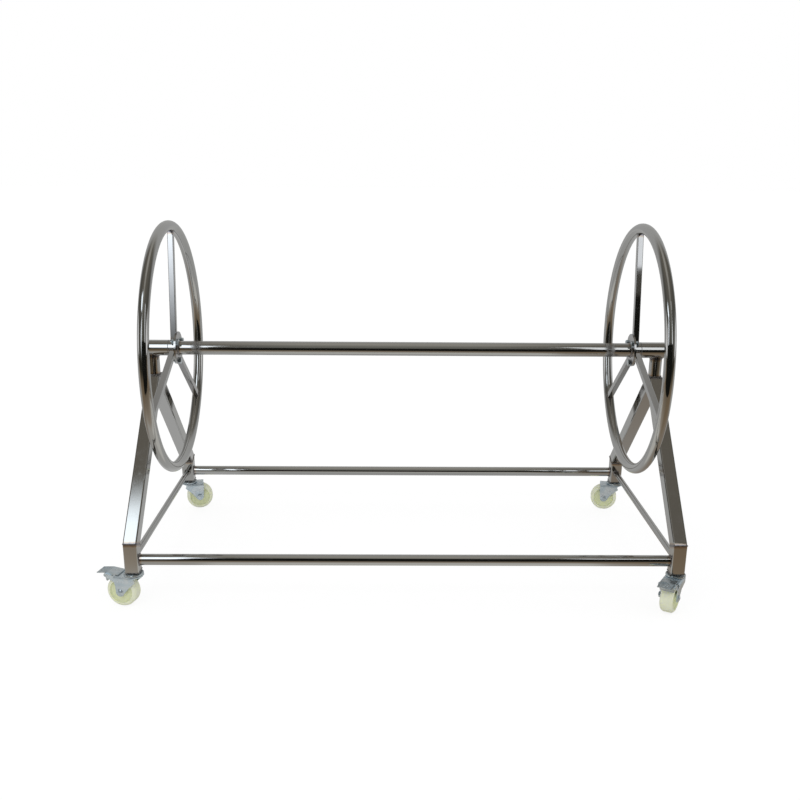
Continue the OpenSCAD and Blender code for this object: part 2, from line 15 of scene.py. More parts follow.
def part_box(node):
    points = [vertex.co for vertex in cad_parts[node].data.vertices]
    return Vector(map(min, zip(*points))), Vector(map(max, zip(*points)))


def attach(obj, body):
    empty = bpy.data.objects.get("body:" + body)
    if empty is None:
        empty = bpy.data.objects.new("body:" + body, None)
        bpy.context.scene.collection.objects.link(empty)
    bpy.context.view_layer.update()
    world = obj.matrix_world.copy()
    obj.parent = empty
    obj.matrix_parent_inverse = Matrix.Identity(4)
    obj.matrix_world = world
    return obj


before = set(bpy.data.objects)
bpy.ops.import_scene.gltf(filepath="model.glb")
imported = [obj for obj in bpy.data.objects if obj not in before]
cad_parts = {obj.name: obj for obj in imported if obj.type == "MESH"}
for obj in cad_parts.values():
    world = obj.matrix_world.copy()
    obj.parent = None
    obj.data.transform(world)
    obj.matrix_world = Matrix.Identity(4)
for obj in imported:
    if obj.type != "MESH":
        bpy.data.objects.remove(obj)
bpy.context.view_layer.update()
scene = bpy.context.scene

SIDES = {"left": -1, "right": 1}
ENDS = {"front": -1, "rear": 1}
CORNERS = [(side, end) for end in ENDS for side in SIDES]
WHEEL_HEADINGS = {
    ("left", "front"): 166,
    ("right", "front"): 237,
    ("left", "rear"): 12,
    ("right", "rear"): 168,
}
SPOKE_ANGLES = [8, 128, 248]
RIM_RING = 0.367
RIM_TUBE = 0.016


# Places, taken from the CAD nodes

def corners(node):
    """Lowest corner, highest corner and middle of a CAD node."""
    low, high = (np.array(corner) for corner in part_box(node))
    return low, high, (low + high) / 2


foot_low, foot_high, foot_mid = corners("foot_front_right")
tube_half = (foot_high[0] - foot_low[0]) / 2
foot_x, foot_y = foot_mid[0], -foot_mid[1]
foot_bottom, foot_top = foot_low[2], foot_high[2]
apex_low, apex_high, post_mid = corners("post_right")
apex_half = apex_high[1]
apex_z = apex_low[2]
sleeve_low, sleeve_high, sleeve_mid = corners("bearing_sleeve_right")
sleeve_r = (sleeve_high[2] - sleeve_low[2]) / 2
axle_z = sleeve_mid[2]
wheel_x = corners("spokes_right")[2][0]
leg_angle = math.atan2(foot_y + tube_half - apex_half, apex_z - foot_top)
mitre_drop = 2 * tube_half * math.tan(leg_angle / 2)


# Camera, at the photograph's place

def aim_camera(place, yaw, pitch, roll, lens, shift):
    """Camera whose view axis is turned by yaw from +Y towards +X, tipped down by pitch and rolled about itself."""
    data = bpy.data.cameras.new("camera")
    data.sensor_width = 36
    data.lens = lens
    data.shift_y = shift
    camera = bpy.data.objects.new("camera", data)
    yaw, pitch, roll = np.radians([yaw, pitch, roll])
    ahead = np.array([math.sin(yaw) * math.cos(pitch), math.cos(yaw) * math.cos(pitch), -math.sin(pitch)])
    right = np.array([math.cos(yaw), -math.sin(yaw), 0])
    up = np.cross(right, ahead)
    across = right * math.cos(roll) + up * math.sin(roll)
    upright = -right * math.sin(roll) + up * math.cos(roll)
    turn = Matrix(np.column_stack([across, upright, -ahead]).tolist()).to_4x4()
    camera.matrix_world = Matrix.Translation(place) @ turn
    scene.collection.objects.link(camera)
    scene.camera = camera


aim_camera((-0.0478, -2.854, 1.2668), yaw=0.6729, pitch=17.2073, roll=0.4382, lens=42.19, shift=0.05)
scene.view_settings.view_transform = "Standard"


# Shader node helpers

def add(tree, kind, inputs=None, **settings):
    """Adds a shader node, sets its own settings, and fills its inputs with values or with other nodes' outputs."""
    made = tree.nodes.new(kind)
    for key, value in settings.items():
        setattr(made, key, value)
    for key, value in (inputs or {}).items():
        if isinstance(value, bpy.types.NodeSocket):
            tree.links.new(value, made.inputs[key])
        else:
            made.inputs[key].default_value = value
    return made


def sum_up(tree, operation, first, second=0.0, third=0.0):
    """Output of one Math node."""
    return add(tree, "ShaderNodeMath", {0: first, 1: second, 2: third}, operation=operation).outputs[0]


def spread(tree, value, low, high, to_low=0.0, to_high=1.0, smooth=True):
    """Output of a Map Range node, which is held at its ends."""
    ends = {"Value": value, "From Min": low, "From Max": high, "To Min": to_low, "To Max": to_high}
    return add(tree, "ShaderNodeMapRange", ends,
               interpolation_type="SMOOTHSTEP" if smooth else "LINEAR").outputs["Result"]


def blend_colours(tree, share, first, second, blend_type="MIX"):
    """Output of a colour Mix node."""
    made = add(tree, "ShaderNodeMix", data_type="RGBA", blend_type=blend_type)
    for place, value in ((0, share), (6, first), (7, second)):
        if isinstance(value, bpy.types.NodeSocket):
            tree.links.new(value, made.inputs[place])
        else:
            made.inputs[place].default_value = value if place == 0 else (*value, 1)
    return made.outputs[2]


def ramp(tree, value, stops):
    """Output of a Color Ramp node with its stops given as place and colour."""
    made = add(tree, "ShaderNodeValToRGB", {"Fac": value})
    elements = made.color_ramp.elements
    while len(elements) < len(stops):
        elements.new(1.0)
    for element, (place, colour) in zip(elements, stops):
        element.position = place
        element.color = (*colour, 1)
    return made.outputs["Color"]


def effect(name, inputs, outputs):
    """Starts a node group with named sockets, and gives it with its input's and output's nodes."""
    tree = bpy.data.node_groups.new(name, "ShaderNodeTree")
    for label, (kind, value) in inputs.items():
        socket = tree.interface.new_socket(label, in_out="INPUT", socket_type="NodeSocket" + kind)
        if value is not None:
            socket.default_value = value
    for label, kind in outputs.items():
        tree.interface.new_socket(label, in_out="OUTPUT", socket_type="NodeSocket" + kind)
    return tree, tree.nodes.new("NodeGroupInput").outputs, tree.nodes.new("NodeGroupOutput").inputs


def place_effect(tree, group, inputs):
    """Places a node group in a material with its own values."""
    made = tree.nodes.new("ShaderNodeGroup")
    made.node_tree = group
    for key, value in inputs.items():
        if isinstance(value, bpy.types.NodeSocket):
            tree.links.new(value, made.inputs[key])
        else:
            made.inputs[key].default_value = value
    return made.outputs


# Effects that several finishes share

def make_tube_waviness():
    """Slow and quick swells of a drawn tube's wall, added as two noises."""
    tree, given, out = effect("tube waviness", {"Vector": ("Vector", None), "Swells": ("Float", 9.0),
                                                "Dimples": ("Float", 0.08)}, {"Height": "Float"})
    slow = add(tree, "ShaderNodeTexNoise", {"Vector": given["Vector"], "Scale": given["Swells"], "Detail": 1.0})
    quick = add(tree, "ShaderNodeTexNoise", {
        "Vector": given["Vector"], "Scale": sum_up(tree, "MULTIPLY", given["Swells"], 6.0), "Detail": 2.0})
    tree.links.new(sum_up(tree, "MULTIPLY_ADD", quick.outputs["Fac"], given["Dimples"], slow.outputs["Fac"]),
                   out["Height"])
    return tree


def make_polishing_lines():
    """Fine lines left by the polishing belt: noise stretched along the lines."""
    tree, given, out = effect("polishing lines", {"Vector": ("Vector", None), "Stretch": ("Vector", (900, 30, 30))},
                              {"Height": "Float", "Mask": "Float"})
    drawn = add(tree, "ShaderNodeVectorMath", {0: given["Vector"], 1: given["Stretch"]}, operation="MULTIPLY")
    lines = add(tree, "ShaderNodeTexNoise", {"Vector": drawn.outputs[0], "Scale": 1.0, "Detail": 3.0,
                                             "Roughness": 0.6})
    tree.links.new(lines.outputs["Fac"], out["Height"])
    tree.links.new(spread(tree, lines.outputs["Fac"], 0.52, 0.72), out["Mask"])
    return tree


def make_handling_marks():
    """Soft smears from gloves and cloths: noise bent by another noise, kept where it is strongest."""
    tree, given, out = effect("handling marks", {"Vector": ("Vector", None), "Scale": ("Float", 12.0)},
                              {"Mask": "Float"})
    bend = add(tree, "ShaderNodeTexNoise", {"Vector": given["Vector"], "Scale": given["Scale"], "Detail": 2.0})
    bent = add(tree, "ShaderNodeVectorMath", {0: bend.outputs["Color"], 1: (0.12, 0.12, 0.12), 2: given["Vector"]},
               operation="MULTIPLY_ADD")
    smears = add(tree, "ShaderNodeTexNoise", {"Vector": bent.outputs[0], "Scale": given["Scale"], "Detail": 5.0,
                                              "Roughness": 0.65})
    tree.links.new(spread(tree, smears.outputs["Fac"], 0.45, 0.75), out["Mask"])
    return tree


def make_settled_dust():
    """Dust on what faces up: the upward part of the normal, broken up by noise."""
    tree, given, out = effect("settled dust", {"Vector": ("Vector", None), "Amount": ("Float", 0.3)},
                              {"Mask": "Float"})
    up = add(tree, "ShaderNodeSeparateXYZ", {0: add(tree, "ShaderNodeNewGeometry").outputs["Normal"]})
    grains = add(tree, "ShaderNodeTexNoise", {"Vector": given["Vector"], "Scale": 160.0, "Detail": 6.0,
                                              "Roughness": 0.8})
    broken = spread(tree, grains.outputs["Fac"], 0.4, 0.65)
    facing = spread(tree, up.outputs["Z"], 0.2, 1.0)
    tree.links.new(sum_up(tree, "MULTIPLY", sum_up(tree, "MULTIPLY", broken, facing), given["Amount"]), out["Mask"])
    return tree


def make_heat_tint():
    """Oxide colours beside a weld by the distance from it: straw, brown and blue, then the bare steel."""
    tree, given, out = effect("heat tint", {"Distance": ("Float", 0.1), "Reach": ("Float", 0.012),
                                            "Vector": ("Vector", None)}, {"Color": "Color", "Mask": "Float"})
    wander = add(tree, "ShaderNodeTexNoise", {"Vector": given["Vector"], "Scale": 120.0, "Detail": 2.0})
    pushed = sum_up(tree, "MULTIPLY_ADD", wander.outputs["Fac"], 0.006, given["Distance"])
    share = sum_up(tree, "DIVIDE", sum_up(tree, "SUBTRACT", pushed, 0.003), given["Reach"])
    tint = ramp(tree, share, [(0.0, (0.08, 0.07, 0.065)), (0.20, (0.24, 0.24, 0.29)), (0.45, (0.45, 0.33, 0.24)),
                              (0.75, (0.60, 0.50, 0.34)), (1.0, (0.62, 0.60, 0.57))])
    tree.links.new(tint, out["Color"])
    tree.links.new(spread(tree, share, 1.0, 0.3), out["Mask"])
    return tree


def make_plating_bloom():
    """Cloudy patches of bright zinc: two noises choose between its cold and its warm cast."""
    tree, given, out = effect("plating bloom", {"Vector": ("Vector", None), "Scale": ("Float", 45.0)},
                              {"Color": "Color", "Mask": "Float"})
    cloud = add(tree, "ShaderNodeTexNoise", {"Vector": given["Vector"], "Scale": given["Scale"], "Detail": 4.0})
    fine = add(tree, "ShaderNodeTexNoise", {
        "Vector": given["Vector"], "Scale": sum_up(tree, "MULTIPLY", given["Scale"], 7.0), "Detail": 3.0})
    share = spread(tree, cloud.outputs["Fac"], 0.35, 0.65)
    tint = blend_colours(tree, share, (0.56, 0.66, 0.72), (0.68, 0.74, 0.77))
    tree.links.new(tint, out["Color"])
    tree.links.new(sum_up(tree, "MULTIPLY_ADD", fine.outputs["Fac"], 0.5, sum_up(tree, "MULTIPLY", share, 0.5)),
                   out["Mask"])
    return tree


tube_waviness = make_tube_waviness()
polishing_lines = make_polishing_lines()
handling_marks = make_handling_marks()
settled_dust = make_settled_dust()
heat_tint = make_heat_tint()
plating_bloom = make_plating_bloom()


# Finishes

def start_finish(name):
    """New material with a Principled shader, its tree and the place on the object."""
    material = bpy.data.materials.new(name)
    material.use_nodes = True
    tree = material.node_tree
    tree.nodes.clear()
    shader = tree.nodes.new("ShaderNodeBsdfPrincipled")
    output = tree.nodes.new("ShaderNodeOutputMaterial")
    tree.links.new(shader.outputs["BSDF"], output.inputs["Surface"])
    place = add(tree, "ShaderNodeTexCoord").outputs["Object"]
    return material, tree, shader, place


def bump_chain(tree, shader, heights):
    """Bump nodes one after another, each a height and its depth in metres, ending in the shader's normal."""
    normal = None
    for height, depth in heights:
        inputs = {"Height": height, "Distance": depth, "Strength": 1.0}
        if normal is not None:
            inputs["Normal"] = normal
        normal = add(tree, "ShaderNodeBump", inputs).outputs["Normal"]
    tree.links.new(normal, shader.inputs["Normal"])


def split(tree, vector):
    """X, Y and Z of a vector."""
    parts = add(tree, "ShaderNodeSeparateXYZ", {0: vector})
    return [parts.outputs[axis] for axis in "XYZ"]


def polished_steel(name, colour, stretch, roughness=0.07, swells=9.0, swell_depth=0.00016, dust=0.10, weld=None,
                   dip=0.0):
    """Stainless tube polished on a belt, with the wall's swells, belt lines, smears, dust and weld colours.

    weld, where given, makes the distance from the nearest weld out of the tree and the place's X, Y and Z.
    dip is the depth to which the tube's face bends in towards the weld, as a parabola 12 mm long.
    """
    material, tree, shader, place = start_finish(name)
    waves = place_effect(tree, tube_waviness, {"Vector": place, "Swells": swells})
    lines = place_effect(tree, polishing_lines, {"Vector": place, "Stretch": stretch})
    smears = place_effect(tree, handling_marks, {"Vector": place, "Scale": 11.0})
    dusty = place_effect(tree, settled_dust, {"Vector": place, "Amount": dust})
    surface = blend_colours(tree, sum_up(tree, "MULTIPLY", lines["Mask"], 0.10), colour,
                            tuple(channel * 0.8 for channel in colour))
    heights = [(waves["Height"], swell_depth), (lines["Height"], 0.0000025)]
    if weld:
        distance = weld(tree, *split(tree, place))
        share = spread(tree, distance, 0.0, 0.012, smooth=False)
        heights.append((sum_up(tree, "MULTIPLY", share, sum_up(tree, "SUBTRACT", 2.0, share)), dip))
        tint = place_effect(tree, heat_tint, {"Vector": place, "Distance": distance})
        surface = blend_colours(tree, sum_up(tree, "MULTIPLY", tint["Mask"], 0.8), surface, tint["Color"])
    surface = blend_colours(tree, dusty["Mask"], surface, (0.72, 0.70, 0.66))
    tree.links.new(surface, shader.inputs["Base Color"])
    shader.inputs["Metallic"].default_value = 1.0
    rough = sum_up(tree, "MULTIPLY_ADD", smears["Mask"], 0.07, roughness)
    rough = sum_up(tree, "MULTIPLY_ADD", lines["Mask"], 0.04, rough)
    rough = sum_up(tree, "MULTIPLY_ADD", dusty["Mask"], 0.35, rough)
    tree.links.new(rough, shader.inputs["Roughness"])
    bump_chain(tree, shader, heights)
    return material


def weld_metal():
    """Bead of melted steel: dull ripples with brown and blue oxide, its colours darkened beyond the oxide as painted
    shade along the joints.
    """
    material, tree, shader, place = start_finish("weld bead steel")
    bloom = place_effect(tree, plating_bloom, {"Vector": place, "Scale": 130.0})
    smears = place_effect(tree, handling_marks, {"Vector": place, "Scale": 60.0})
    grains = add(tree, "ShaderNodeTexNoise", {"Vector": place, "Scale": 900.0, "Detail": 4.0})
    # Partly painted shade: the bead's colours are darker than its oxide, for the dark line along the joints.
    colour = blend_colours(tree, smears["Mask"], (0.36, 0.34, 0.32), (0.14, 0.12, 0.10))
    colour = blend_colours(tree, sum_up(tree, "MULTIPLY", bloom["Mask"], 0.5), colour, (0.42, 0.43, 0.48))
    tree.links.new(colour, shader.inputs["Base Color"])
    shader.inputs["Metallic"].default_value = 1.0
    tree.links.new(sum_up(tree, "MULTIPLY_ADD", grains.outputs["Fac"], 0.16, 0.14), shader.inputs["Roughness"])
    bump_chain(tree, shader, [(grains.outputs["Fac"], 0.00012)])
    return material


def bright_zinc(name, dark=1.0, roughness=0.14, metal=0.6):
    """Zinc plated steel: cloudy blue-grey plating over faint rolling lines, with dust and smears."""
    material, tree, shader, place = start_finish(name)
    bloom = place_effect(tree, plating_bloom, {"Vector": place})
    lines = place_effect(tree, polishing_lines, {"Vector": place, "Stretch": (120.0, 120.0, 1500.0)})
    smears = place_effect(tree, handling_marks, {"Vector": place, "Scale": 35.0})
    dusty = place_effect(tree, settled_dust, {"Vector": place, "Amount": 0.2})
    colour = blend_colours(tree, sum_up(tree, "MULTIPLY", smears["Mask"], 0.35), bloom["Color"],
                           (0.44 * dark, 0.48 * dark, 0.54 * dark))
    colour = blend_colours(tree, dusty["Mask"], colour, (0.66, 0.64, 0.60))
    tree.links.new(colour, shader.inputs["Base Color"])
    shader.inputs["Metallic"].default_value = metal
    rough = sum_up(tree, "MULTIPLY_ADD", bloom["Mask"], 0.12, roughness)
    rough = sum_up(tree, "MULTIPLY_ADD", smears["Mask"], 0.1, rough)
    tree.links.new(rough, shader.inputs["Roughness"])
    bump_chain(tree, shader, [(bloom["Mask"], 0.00006), (lines["Height"], 0.000004)])
    return material


def caster_nylon(side, end):
    """Moulded nylon wheel: pale green tread, yellower in its recess, with a mould line and fine scuffs."""
    material, tree, shader, place = start_finish(f"caster nylon {end} {side}")
    low, high, mid = corners(f"caster_wheel_{end}_{side}")
    heading = math.radians(WHEEL_HEADINGS[side, end])
    local = add(tree, "ShaderNodeMapping", {"Vector": place, "Location": tuple(mid), "Rotation": (0, 0, heading)},
                vector_type="TEXTURE").outputs[0]
    along, across, up = split(tree, local)
    out = sum_up(tree, "SQRT", sum_up(tree, "ADD", sum_up(tree, "MULTIPLY", along, along),
                                      sum_up(tree, "MULTIPLY", up, up)))
    wheel_r = (high[2] - low[2]) / 2
    recess = spread(tree, out, wheel_r - 0.010, wheel_r - 0.012)
    cloud = add(tree, "ShaderNodeTexNoise", {"Vector": local, "Scale": 40.0, "Detail": 4.0})
    scuffs = place_effect(tree, handling_marks, {"Vector": local, "Scale": 55.0})
    colour = blend_colours(tree, recess, (0.72, 0.74, 0.56), (0.64, 0.68, 0.40))
    colour = blend_colours(tree, sum_up(tree, "MULTIPLY", cloud.outputs["Fac"], 0.35), colour, (0.76, 0.77, 0.62))
    colour = blend_colours(tree, sum_up(tree, "MULTIPLY", scuffs["Mask"], 0.18), colour, (0.50, 0.50, 0.38))
    tree.links.new(colour, shader.inputs["Base Color"])
    tree.links.new(sum_up(tree, "MULTIPLY_ADD", scuffs["Mask"], 0.25, 0.34), shader.inputs["Roughness"])
    shader.inputs["Subsurface Weight"].default_value = 0.25
    shader.inputs["Subsurface Radius"].default_value = (0.006, 0.006, 0.003)
    shader.inputs["Subsurface Scale"].default_value = 1.0
    parting = spread(tree, sum_up(tree, "ABSOLUTE", across), 0.0, 0.0006)
    bump_chain(tree, shader, [(sum_up(tree, "SUBTRACT", 1.0, parting), 0.0002), (cloud.outputs["Fac"], 0.0003),
                              (scuffs["Mask"], 0.00006)])
    return material


def bush_plastic():
    """Dark plastic bush: turned rings and a little pale wear."""
    material, tree, shader, place = start_finish("bush plastic")
    smears = place_effect(tree, handling_marks, {"Vector": place, "Scale": 80.0})
    rings = add(tree, "ShaderNodeTexNoise", {"Vector": place, "Scale": 600.0, "Detail": 2.0})
    tree.links.new(blend_colours(tree, smears["Mask"], (0.10, 0.10, 0.10), (0.24, 0.24, 0.23)),
                   shader.inputs["Base Color"])
    tree.links.new(sum_up(tree, "MULTIPLY_ADD", smears["Mask"], 0.2, 0.4), shader.inputs["Roughness"])
    bump_chain(tree, shader, [(rings.outputs["Fac"], 0.00005)])
    return material


# Distances from welds, for the heat colours

def from_mitre(tree, x, y, z):
    """Height over or under the mitre between foot and leg, which falls from the outer face inwards."""
    inwards = sum_up(tree, "SUBTRACT", foot_y + tube_half, sum_up(tree, "ABSOLUTE", y))
    line = sum_up(tree, "MULTIPLY_ADD", inwards, -mitre_drop / (2 * tube_half), foot_top)
    return sum_up(tree, "ABSOLUTE", sum_up(tree, "SUBTRACT", z, line))


def from_rail_end(tree, x, y, z):
    """Distance from the ends of a long rail."""
    return sum_up(tree, "SUBTRACT", foot_x - tube_half, sum_up(tree, "ABSOLUTE", x))


def from_side_rail_end(tree, x, y, z):
    """Distance from the ends of a side rail."""
    return sum_up(tree, "SUBTRACT", foot_y - tube_half, sum_up(tree, "ABSOLUTE", y))


def from_post_end(tree, x, y, z):
    """Distance from the plate under a post or from the sleeve over it."""
    over = sum_up(tree, "SUBTRACT", z, apex_z + 0.003)
    under = sum_up(tree, "SUBTRACT", axle_z - sleeve_r, z)
    return sum_up(tree, "ABSOLUTE", sum_up(tree, "MINIMUM", over, under))


def from_flange(tree, x, y, z):
    """Distance along the axle from the flange's weld."""
    return sum_up(tree, "ABSOLUTE", sum_up(tree, "SUBTRACT", sum_up(tree, "ABSOLUTE", x), wheel_x - 0.015))


def from_spoke_end(tree, x, y, z):
    """Distance from the spoke's welds at hub and rim, by the distance from the axle."""
    up = sum_up(tree, "SUBTRACT", z, axle_z)
    out = sum_up(tree, "SQRT", sum_up(tree, "MULTIPLY_ADD", y, y, sum_up(tree, "MULTIPLY", up, up)))
    return sum_up(tree, "MINIMUM", sum_up(tree, "ABSOLUTE", sum_up(tree, "SUBTRACT", out, sleeve_r)),
                  sum_up(tree, "ABSOLUTE", sum_up(tree, "SUBTRACT", out, RIM_RING - RIM_TUBE)))


STEEL = (0.58, 0.58, 0.575)
around_x = (900.0, 30.0, 30.0)
around_y = (30.0, 900.0, 30.0)
up_and_down = (700.0, 700.0, 20.0)

leg_steel = polished_steel("leg steel", STEEL, up_and_down, roughness=0.06, swells=7.0, swell_depth=0.0002,
                           weld=from_mitre, dip=0.0007)
rail_steel = polished_steel("rail steel", STEEL, around_x, roughness=0.05, swell_depth=0.00006, weld=from_rail_end)
side_rail_steel = polished_steel("side rail steel", STEEL, around_y, weld=from_side_rail_end)
post_steel = polished_steel("post steel", STEEL, (30.0, 30.0, 900.0), weld=from_post_end)
sleeve_steel = polished_steel("sleeve steel", STEEL, around_x)
axle_steel = polished_steel("axle steel", STEEL, around_x, weld=from_flange)
rim_steel = polished_steel("rim steel", STEEL, (300.0, 60.0, 60.0), roughness=0.045, swells=6.0, swell_depth=0.00008)
spoke_steel = polished_steel("spoke steel", (0.56, 0.56, 0.565), (700.0, 60.0, 60.0), roughness=0.05,
                             weld=from_spoke_end)
flange_steel = polished_steel("flange steel", (0.52, 0.52, 0.53), (500.0, 200.0, 200.0), roughness=0.2)
inner_steel = polished_steel("inner steel", (0.45, 0.44, 0.43), (500.0, 60.0, 60.0), roughness=0.25)
zinc_sheet = bright_zinc("zinc sheet")
zinc_head = bright_zinc("swivel head zinc", dark=0.6, roughness=0.05, metal=0.95)
zinc_pedal = bright_zinc("pedal zinc", dark=0.6, roughness=0.12, metal=0.85)
# Partly painted highlight: the bolts' smears are raised towards white, above the zinc's own colour, for bright domes.
zinc_bolt = bright_zinc("bolt zinc", dark=1.6, roughness=0.04, metal=0.7)
bead_steel = weld_metal()
bush_dark = bush_plastic()


def finish_nodes(material, *names):
    """Gives CAD nodes a finish; a name that isn't a node stands for both sides or for all four corners."""
    for name in names:
        found = [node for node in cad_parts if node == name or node.startswith(name + "_")]
        for node in found:
            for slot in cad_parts[node].material_slots:
                slot.material = material


finish_nodes(leg_steel, "foot_front", "foot_rear", "leg")
finish_nodes(rail_steel, "front_rail", "rear_rail")
finish_nodes(side_rail_steel, "side_rail")
finish_nodes(post_steel, "post")
finish_nodes(sleeve_steel, "bearing_sleeve", "sleeve_cap", "hub")
finish_nodes(axle_steel, "axle_tube")
finish_nodes(rim_steel, "rim")
finish_nodes(spoke_steel, "spokes")
finish_nodes(flange_steel, "axle_flange")
finish_nodes(inner_steel, "foot_plate", "stub_shaft")
finish_nodes(zinc_sheet, "fork")
finish_nodes(zinc_head, "swivel_head", "flange_bolts")
finish_nodes(zinc_pedal, "brake_pedal")
finish_nodes(zinc_bolt, "caster_bolt", "pedal_pin")
finish_nodes(bush_dark, "bush")
for side, end in CORNERS:
    finish_nodes(caster_nylon(side, end), f"caster_wheel_{end}_{side}")


# Paths of the weld beads

def circle(centre, axis, radius, steps=360):
    """Circle across the axis 0, 1 or 2: its other two coordinates are the cosine and sine of the turn."""
    turn = np.linspace(0, 2 * np.pi, steps, endpoint=False)
    path = np.tile(np.asarray(centre, float), (steps, 1))
    path[:, (axis + 1) % 3] += radius * np.cos(turn)
    path[:, (axis + 2) % 3] += radius * np.sin(turn)
    return path


def rounded_outline(half_a, half_b, corner, steps=240):
    """Rectangle with round corners: each corner's circle, moved out to the corner's middle."""
    turn = (np.arange(steps) + 0.5) * 2 * np.pi / steps
    return (np.sign(np.cos(turn)) * (half_a - corner) + corner * np.cos(turn),
            np.sign(np.sin(turn)) * (half_b - corner) + corner * np.sin(turn))


def even(path, step):
    """Points of a closed path at equal distances along it."""
    closed = np.vstack([path, path[:1]])
    lengths = np.concatenate([[0], np.cumsum(np.linalg.norm(np.diff(closed, axis=0), axis=1))])
    count = max(8, int(round(lengths[-1] / step)))
    at = np.linspace(0, lengths[-1], count, endpoint=False)
    return np.column_stack([np.interp(at, lengths, closed[:, axis]) for axis in range(3)]), lengths[-1]


def bead(path, up, radius=0.0022, pitch=0.0026):
    """Weld bead round a closed path, as rings of points.

    Each ring is a circle across the path. Its radius swells and sinks once per pitch by the size of a sine,
    which lags round the ring, so that the swells lie over one another like coins. A slow wave along the path
    makes the bead a little fatter here and there.
    """
    around = 10
    points, length = even(path, pitch / 5)
    forward = np.roll(points, -1, axis=0) - np.roll(points, 1, axis=0)
    forward /= np.linalg.norm(forward, axis=1)[:, None]
    side = np.cross(forward, np.asarray(up, float))
    side /= np.linalg.norm(side, axis=1)[:, None]
    over = np.cross(side, forward)
    turn = np.linspace(0, 2 * np.pi, around, endpoint=False)[None, :]
    along = (np.arange(len(points)) / len(points))[:, None]
    ripples = round(length / pitch)
    swell = np.abs(np.sin(np.pi * ripples * along + 0.5 * np.sin(turn)))
    slow = 0.10 * np.sin(2 * np.pi * 3 * along + 1.0) + 0.06 * np.sin(2 * np.pi * 7 * along)
    size = radius * (0.86 + 0.22 * swell + slow)
    return (points[:, None, :] + (size * np.cos(turn))[:, :, None] * side[:, None, :]
            + (size * np.sin(turn))[:, :, None] * over[:, None, :])


def sweep_mesh(name, grids, material, body):
    """One mesh of several closed sweeps, each a grid of points (along, around), its faces facing outwards."""
    points, faces, start = [], [], 0
    for grid in grids:
        rows, columns = grid.shape[:2]
        index = start + np.arange(rows * columns).reshape(rows, columns)
        after, beside = np.roll(index, -1, axis=0), np.roll(index, -1, axis=1)
        quads = np.stack([index, beside, np.roll(after, -1, axis=1), after], axis=-1).reshape(-1, 4)
        flat = grid.reshape(-1, 3)
        a, b, c, d = (flat[quads[:, k] - start] for k in range(4))
        volume = np.einsum("ij,ij->i", a, np.cross(b, c)).sum() + np.einsum("ij,ij->i", a, np.cross(c, d)).sum()
        faces.append(quads if volume > 0 else quads[:, ::-1])
        points.append(flat)
        start += len(flat)
    mesh = bpy.data.meshes.new(name)
    mesh.from_pydata(np.concatenate(points).tolist(), [], np.concatenate(faces).tolist())
    mesh.polygons.foreach_set("use_smooth", [True] * len(mesh.polygons))
    mesh.update()
    mesh.materials.append(material)
    made = bpy.data.objects.new(name, mesh)
    scene.collection.objects.link(made)
    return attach(made, body)


def mitre_path(side, end):
    """Outline of the square tube across the mitre: its height falls inwards by the mitre's slope."""
    across, deep = rounded_outline(tube_half, tube_half, 0.004)
    height = foot_top - (tube_half - deep) * mitre_drop / (2 * tube_half)
    return np.column_stack([side * foot_x + across, end * (foot_y + deep), height])


def saddle_path(side, radius):
    """Where a round post meets the level sleeve over it: the sleeve's circle gives the height."""
    path = circle((side * foot_x, 0, 0), 2, radius)
    path[:, 2] = axle_z - np.sqrt(sleeve_r ** 2 - path[:, 1] ** 2)
    return path


def spoke_path(side, angle, reach):
    """Outline of a square spoke laid on what it runs into, whose distance from the axle is reach(u, w)."""
    u, w = rounded_outline(0.009, 0.009, 0.002)
    out, angle = reach(u, w), math.radians(angle)
    return np.column_stack([side * wheel_x + u, out * math.sin(angle) + w * math.cos(angle),
                            axle_z + out * math.cos(angle) - w * math.sin(angle)])


def on_hub(u, w):
    """Distance at which a line beside the spoke's middle meets the hub's circle."""
    return np.sqrt(sleeve_r ** 2 - w ** 2)


def in_rim(u, w):
    """Distance at which a line beside the spoke's middle meets the inside of the rim's ring."""
    return np.sqrt((RIM_RING - np.sqrt(RIM_TUBE ** 2 - u ** 2)) ** 2 - w ** 2)


def add_stand_welds():
    """Beads of the stand: mitres, foot bottoms, rail ends, leg tops, plates, posts and sleeves."""
    low, high, mid = corners("front_rail")
    rail_r, rail_z, rail_end = (high[2] - low[2]) / 2, mid[2], high[0]
    low, high, mid = corners("side_rail_right")
    side_r, side_z, side_end = (high[2] - low[2]) / 2, mid[2], high[1]
    a, b = rounded_outline(tube_half, tube_half, 0.004)
    feet, rails, tops = [], [], []
    for side, end in [(SIDES[s], ENDS[e]) for s, e in CORNERS]:
        feet.append(bead(mitre_path(side, end), (0, 0, 1), 0.0017))
        bottom = np.column_stack([side * foot_x + a, end * foot_y + b, np.full(len(a), foot_bottom + 0.0006)])
        feet.append(bead(bottom, (0, 0, 1), 0.0016))
        rails.append(bead(circle((side * rail_end, end * foot_y, rail_z), 0, rail_r), (1, 0, 0), 0.0024))
        rails.append(bead(circle((side * foot_x, end * side_end, side_z), 1, side_r), (0, 1, 0), 0.0022))
    under_apex = foot_top - mitre_drop + (foot_y - tube_half) / math.tan(leg_angle)
    half = (apex_z - under_apex) / 2
    for side in SIDES.values():
        u, w = rounded_outline(tube_half, half, 0.003)
        tops.append(bead(np.column_stack([side * foot_x + u, np.zeros(len(u)), under_apex + half + w]),
                         (0, 1, 0), 0.0018))
        u, w = rounded_outline(tube_half, apex_half, 0.001)
        tops.append(bead(np.column_stack([side * foot_x + u, w, np.full(len(u), apex_z)]), (0, 0, 1), 0.0018))
        tops.append(bead(circle((side * foot_x, 0, apex_z + 0.003), 2, 0.019), (0, 0, 1), 0.0026, 0.0032))
        tops.append(bead(saddle_path(side, 0.019), (0, 0, 1), 0.0024))
    sweep_mesh("foot_welds", feet, bead_steel, "frame")
    sweep_mesh("rail_welds", rails, bead_steel, "frame")
    sweep_mesh("post_welds", tops, bead_steel, "frame")


